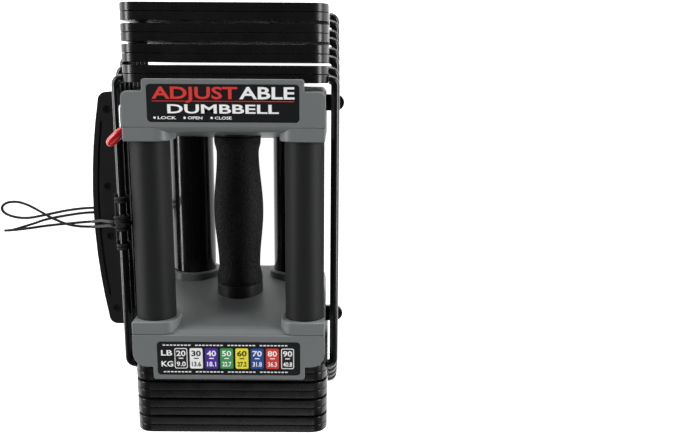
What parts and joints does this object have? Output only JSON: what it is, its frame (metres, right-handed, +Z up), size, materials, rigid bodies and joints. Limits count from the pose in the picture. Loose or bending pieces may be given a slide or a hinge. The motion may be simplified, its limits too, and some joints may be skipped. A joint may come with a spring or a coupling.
{
  "type": "adjustable dumbbell",
  "caption": "Selectorised block dumbbell: nested steel plate-and-rail weights around a handle core with a contoured grip, a U-shaped selector pin and an elastic lanyard.",
  "frame": {"origin": "the floor under the middle of the object's box, without the lanyard: midway along the block, and midway from the pin's handle to its tips", "axes": "+Y along the block, from the weight-chart end to the title end; +X from the pin's handle to its tips; +Z up, out of the hand opening"},
  "size_m": [0.3932, 0.406, 0.1771],
  "materials": {
    "coated_steel": "black powder coat, satin to gloss",
    "grey_plastic": "moulded, fine satin grain",
    "label": "printed panel, satin",
    "black_plastic": "satin",
    "chrome": "polished",
    "steel": "bright drawn",
    "grip_rubber": "pebbled",
    "red_vinyl": "dipped, glossy",
    "cord": "braided sheath"
  },
  "bodies": {
    "weight_20": {"weight_20_plate_front": "coated_steel", "weight_20_plate_rear": "coated_steel", "weight_20_rail_left": "coated_steel", "weight_20_rail_right": "coated_steel", "lanyard_hitch": "cord"},
    "weight_30": {"weight_30_plate_front": "coated_steel", "weight_30_plate_rear": "coated_steel", "weight_30_rail_left": "coated_steel", "weight_30_rail_right": "coated_steel"},
    "weight_40": {"weight_40_plate_front": "coated_steel", "weight_40_plate_rear": "coated_steel", "weight_40_rail_left": "coated_steel", "weight_40_rail_right": "coated_steel"},
    "weight_50": {"weight_50_plate_front": "coated_steel", "weight_50_plate_rear": "coated_steel", "weight_50_rail_left": "coated_steel", "weight_50_rail_right": "coated_steel"},
    "weight_60": {"weight_60_plate_front": "coated_steel", "weight_60_plate_rear": "coated_steel", "weight_60_rail_left": "coated_steel", "weight_60_rail_right": "coated_steel"},
    "weight_70": {"weight_70_plate_front": "coated_steel", "weight_70_plate_rear": "coated_steel", "weight_70_rail_left": "coated_steel", "weight_70_rail_right": "coated_steel"},
    "weight_80": {"weight_80_plate_front": "coated_steel", "weight_80_plate_rear": "coated_steel", "weight_80_rail_left": "coated_steel", "weight_80_rail_right": "coated_steel"},
    "weight_90": {"weight_90_plate_front": "coated_steel", "weight_90_plate_rear": "coated_steel", "weight_90_rail_left": "coated_steel", "weight_90_rail_right": "coated_steel"},
    "handle": {"end_housing_front": "grey_plastic", "end_housing_rear": "grey_plastic", "end_cap_front": "grey_plastic", "end_cap_rear": "grey_plastic", "label_panel_front": "label", "label_panel_rear": "label", "pillar_left": "black_plastic", "pillar_right": "black_plastic", "adder_tube_left": "coated_steel", "adder_tube_right": "coated_steel", "adder_weight_left": "chrome", "adder_weight_right": "chrome", "grip_bar": "steel", "grip_sleeve": "grip_rubber", "grip_collar_front": "black_plastic", "grip_collar_rear": "black_plastic"},
    "lever": {"lock_lever": "steel", "lever_tip": "red_vinyl"},
    "pin": {"pin_prongs": "coated_steel", "pin_handle_top": "black_plastic", "pin_handle_bottom": "black_plastic", "pin_screw_1": "steel", "pin_screw_2": "steel", "pin_screw_3": "steel", "pin_screw_4": "steel", "lanyard_wide_loop": "cord", "lanyard_narrow_loop": "cord"}
  },
  "joints": [
    {"name": "lift_80", "type": "slide", "parent": "weight_90", "child": "weight_80", "axis": [0, 0, 1], "range_m": [0, 0.18]},
    {"name": "lift_70", "type": "slide", "parent": "weight_80", "child": "weight_70", "axis": [0, 0, 1], "range_m": [0, 0.18]},
    {"name": "lift_60", "type": "slide", "parent": "weight_70", "child": "weight_60", "axis": [0, 0, 1], "range_m": [0, 0.18]},
    {"name": "lift_50", "type": "slide", "parent": "weight_60", "child": "weight_50", "axis": [0, 0, 1], "range_m": [0, 0.18]},
    {"name": "lift_40", "type": "slide", "parent": "weight_50", "child": "weight_40", "axis": [0, 0, 1], "range_m": [0, 0.18]},
    {"name": "lift_30", "type": "slide", "parent": "weight_40", "child": "weight_30", "axis": [0, 0, 1], "range_m": [0, 0.18]},
    {"name": "lift_20", "type": "slide", "parent": "weight_30", "child": "weight_20", "axis": [0, 0, 1], "range_m": [0, 0.18]},
    {"name": "lift_handle", "type": "slide", "parent": "weight_20", "child": "handle", "axis": [0, 0, 1], "range_m": [0, 0.18]},
    {"name": "pin_pull", "type": "slide", "parent": "weight_80", "child": "pin", "axis": [-1, 0, 0], "range_m": [0, 0.22]},
    {"name": "lever_turn", "type": "hinge", "parent": "handle", "child": "lever", "pos_m": [-0.0645, 0.113, 0.167], "axis": [-1, 0, 0], "range_deg": [0, 90]}
  ]
}
